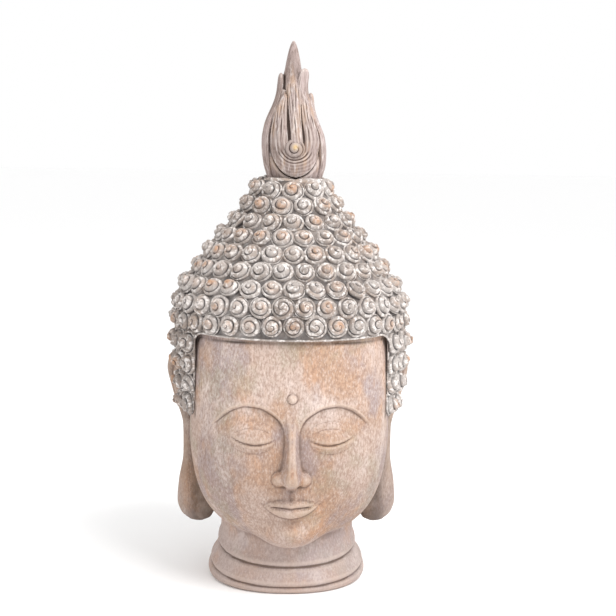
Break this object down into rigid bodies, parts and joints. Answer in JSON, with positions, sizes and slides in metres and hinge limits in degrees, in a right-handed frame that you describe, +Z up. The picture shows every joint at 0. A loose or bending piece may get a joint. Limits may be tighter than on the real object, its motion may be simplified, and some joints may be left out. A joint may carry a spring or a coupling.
{
  "type": "buddha head sculpture",
  "caption": "Calm stone Buddha head with snail-curl hair, long ears, a ringed neck cut flat below and a flame finial standing on the crown.",
  "frame": {"origin": "centre of the neck's flat underside", "axes": "+Z up, the face looks towards -Y, +X towards the statue's own left ear"},
  "size_m": [0.3516, 0.3635, 0.76],
  "materials": {
    "head_stone": "matt, washed pink-beige over grey, worn to tan on the curls' tips",
    "finial_stone": "matt, grey-brown with a pale wash and dark lines in the grooves"
  },
  "bodies": {
    "root": {"head": "head_stone", "flame_finial": "finial_stone"}
  },
  "joints": []
}
